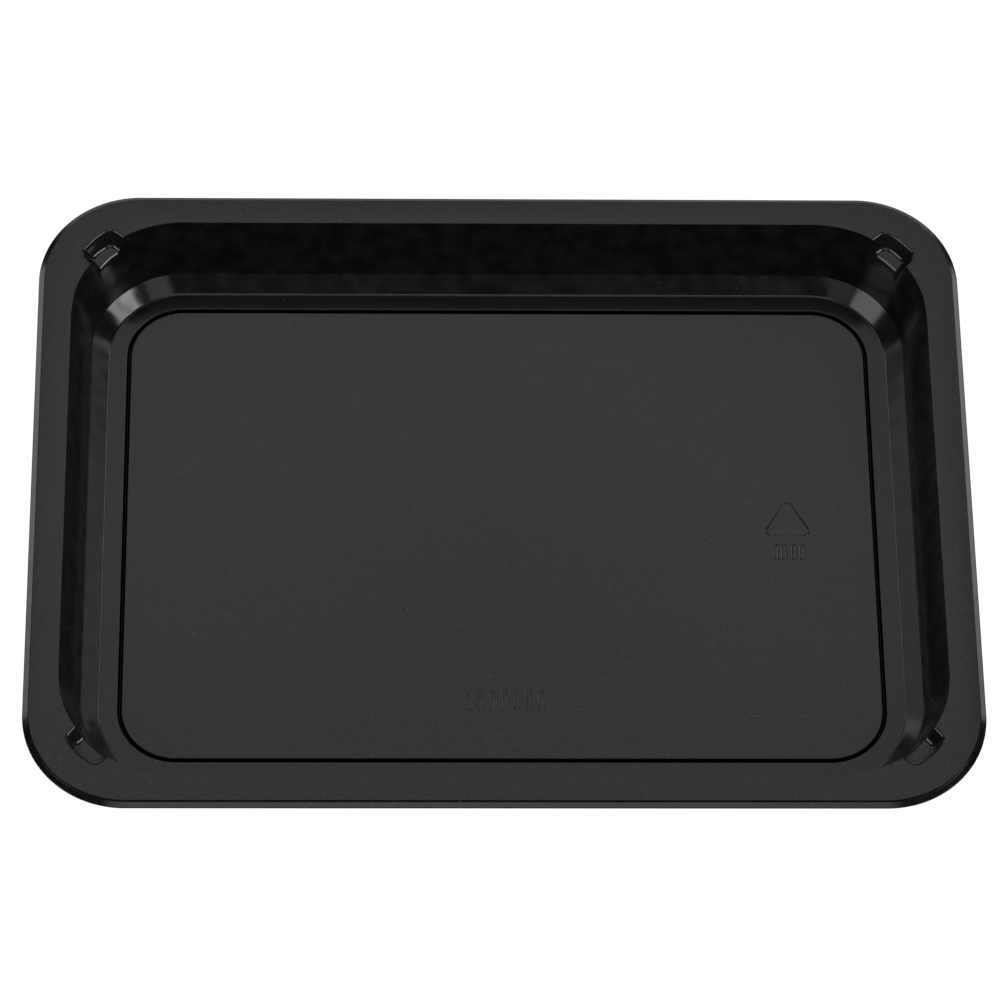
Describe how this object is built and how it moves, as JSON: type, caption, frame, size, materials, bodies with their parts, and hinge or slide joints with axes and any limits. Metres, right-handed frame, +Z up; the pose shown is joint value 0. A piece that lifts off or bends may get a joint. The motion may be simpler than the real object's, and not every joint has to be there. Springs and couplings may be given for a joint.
{
  "type": "food tray",
  "caption": "Shallow rounded rectangular black plastic food tray with a broad flat rim, sloping walls, a grooved flat base and lid catch pockets at its corners.",
  "frame": {"origin": "middle of the tray's outline, at the level that its foot ridge stands on", "axes": "+X along the tray's length, +Y along its width, +Z up out of its open side"},
  "size_m": [0.241, 0.18, 0.0226],
  "materials": {
    "black_plastic": "satin to gloss moulded polypropylene"
  },
  "bodies": {
    "root": {"tray": "black_plastic"}
  },
  "joints": []
}
